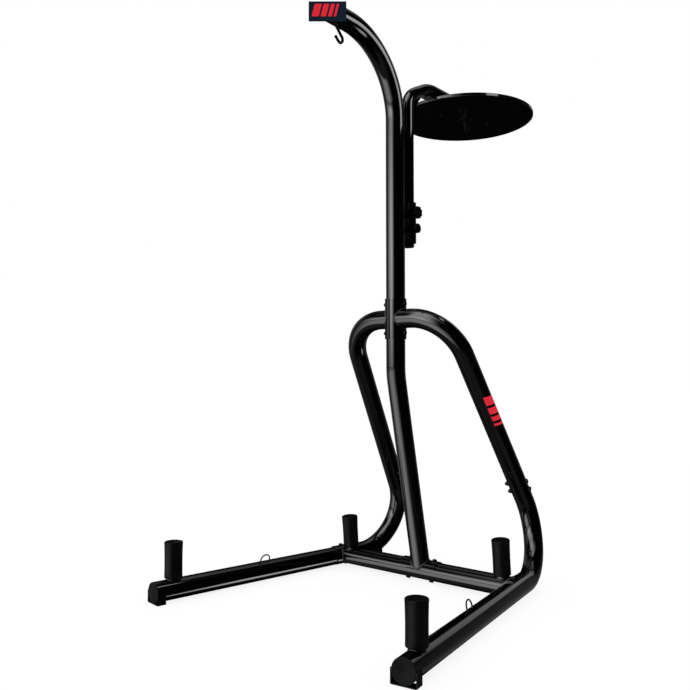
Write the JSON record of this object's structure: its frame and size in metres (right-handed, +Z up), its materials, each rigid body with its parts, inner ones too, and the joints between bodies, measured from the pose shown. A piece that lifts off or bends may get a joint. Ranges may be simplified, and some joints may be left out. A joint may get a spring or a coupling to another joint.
{
  "type": "speed bag platform",
  "caption": "Free-standing two-station boxing stand: bent post with a heavy bag hook and a round speed bag board on a height-adjustable tube.",
  "frame": {"origin": "on the floor, under the middle of the stand's box", "axes": "+Z up; -Y towards the heavy bag, +Y towards the speed bag board; +X to the side with the slide's knobs"},
  "size_m": [1.212, 1.5853, 2.204],
  "materials": {
    "frame_paint": "gloss black enamel",
    "foot_paint": "satin black",
    "dark_fastener": "black oxide, satin",
    "bare_steel": "plain zinc plated",
    "wire_steel": "satin black",
    "swivel_steel": "dark plated, satin",
    "cap_plastic": "moulded black",
    "knob_plastic": "moulded black",
    "peg_rubber": "satin black",
    "board_laminate": "gloss black laminate",
    "badge_paint": "dark navy enamel with red marks"
  },
  "bodies": {
    "frame": {"arm_badge": "badge_paint", "arm_end_plug": "frame_paint", "bag_hook": "wire_steel", "clamp_boss": "frame_paint", "collar_bolts": "dark_fastener", "collar_cap_nuts": "dark_fastener", "corner_bolts": "dark_fastener", "corner_nuts": "dark_fastener", "crossbeam": "frame_paint", "left_collar_half": "frame_paint", "left_front_foot": "foot_paint", "left_front_peg": "frame_paint", "left_front_peg_cover": "peg_rubber", "left_leg_saddle": "frame_paint", "left_leg_tube": "frame_paint", "left_rear_foot": "foot_paint", "left_rear_peg": "frame_paint", "left_rear_peg_cover": "peg_rubber", "left_side_tube": "frame_paint", "leg_end_caps": "cap_plastic", "lower_post": "frame_paint", "pin_barrel": "frame_paint", "pin_spring": "bare_steel", "post_foot_bolts": "dark_fastener", "post_foot_nuts": "dark_fastener", "post_foot_plate": "frame_paint", "post_sleeve": "bare_steel", "right_collar_half": "frame_paint", "right_front_foot": "foot_paint", "right_front_peg": "frame_paint", "right_front_peg_cover": "peg_rubber", "right_leg_saddle": "frame_paint", "right_leg_tube": "frame_paint", "right_rear_foot": "foot_paint", "right_rear_peg": "frame_paint", "right_rear_peg_cover": "peg_rubber", "right_side_tube": "frame_paint", "slide_liner": "cap_plastic", "slide_sleeve": "frame_paint", "splice_bolts": "dark_fastener", "splice_cap_nuts": "dark_fastener", "splice_sleeves": "bare_steel", "tie_down_eyelets": "wire_steel", "upper_post": "frame_paint"},
    "platform": {"slide_tube": "frame_paint", "slide_tube_plugs": "cap_plastic", "board_mount_plate": "frame_paint", "speed_bag_board": "board_laminate", "board_bolts": "dark_fastener", "board_washers": "dark_fastener", "board_nuts": "dark_fastener", "swivel_flange": "swivel_steel", "swivel_screws": "dark_fastener"},
    "pin": {"pull_pin": "bare_steel", "pull_pin_knob": "knob_plastic"},
    "clamp": {"clamp_screw": "dark_fastener", "clamp_knob": "knob_plastic"},
    "swivel_yoke": {"swivel_spindle": "swivel_steel", "swivel_pin": "bare_steel"},
    "swivel_ring": {"bag_ring": "swivel_steel"}
  },
  "joints": [
    {"name": "platform_height", "type": "slide", "parent": "frame", "child": "platform", "axis": [0, 0, 1], "range_m": [-0.3, 0]},
    {"name": "pin_pull", "type": "slide", "parent": "frame", "child": "pin", "axis": [1, 0, 0], "range_m": [0, 0.007], "stiffness_N_per_m": 700, "springref_m": -0.006, "deforming": ["pin_spring"]},
    {"name": "clamp_turn", "type": "hinge", "parent": "frame", "child": "clamp", "pos_m": [0.045, 0.03416, 1.499], "axis": [1, 0, 0], "range_deg": [0, 540]},
    {"name": "swivel_spin", "type": "hinge", "parent": "platform", "child": "swivel_yoke", "pos_m": [0, 0.49016, 2], "axis": [0, 0, 1], "continuous": true},
    {"name": "swivel_swing", "type": "hinge", "parent": "swivel_yoke", "child": "swivel_ring", "pos_m": [0, 0.49016, 1.988], "axis": [1, 0, 0], "range_deg": [-40, 40]}
  ]
}
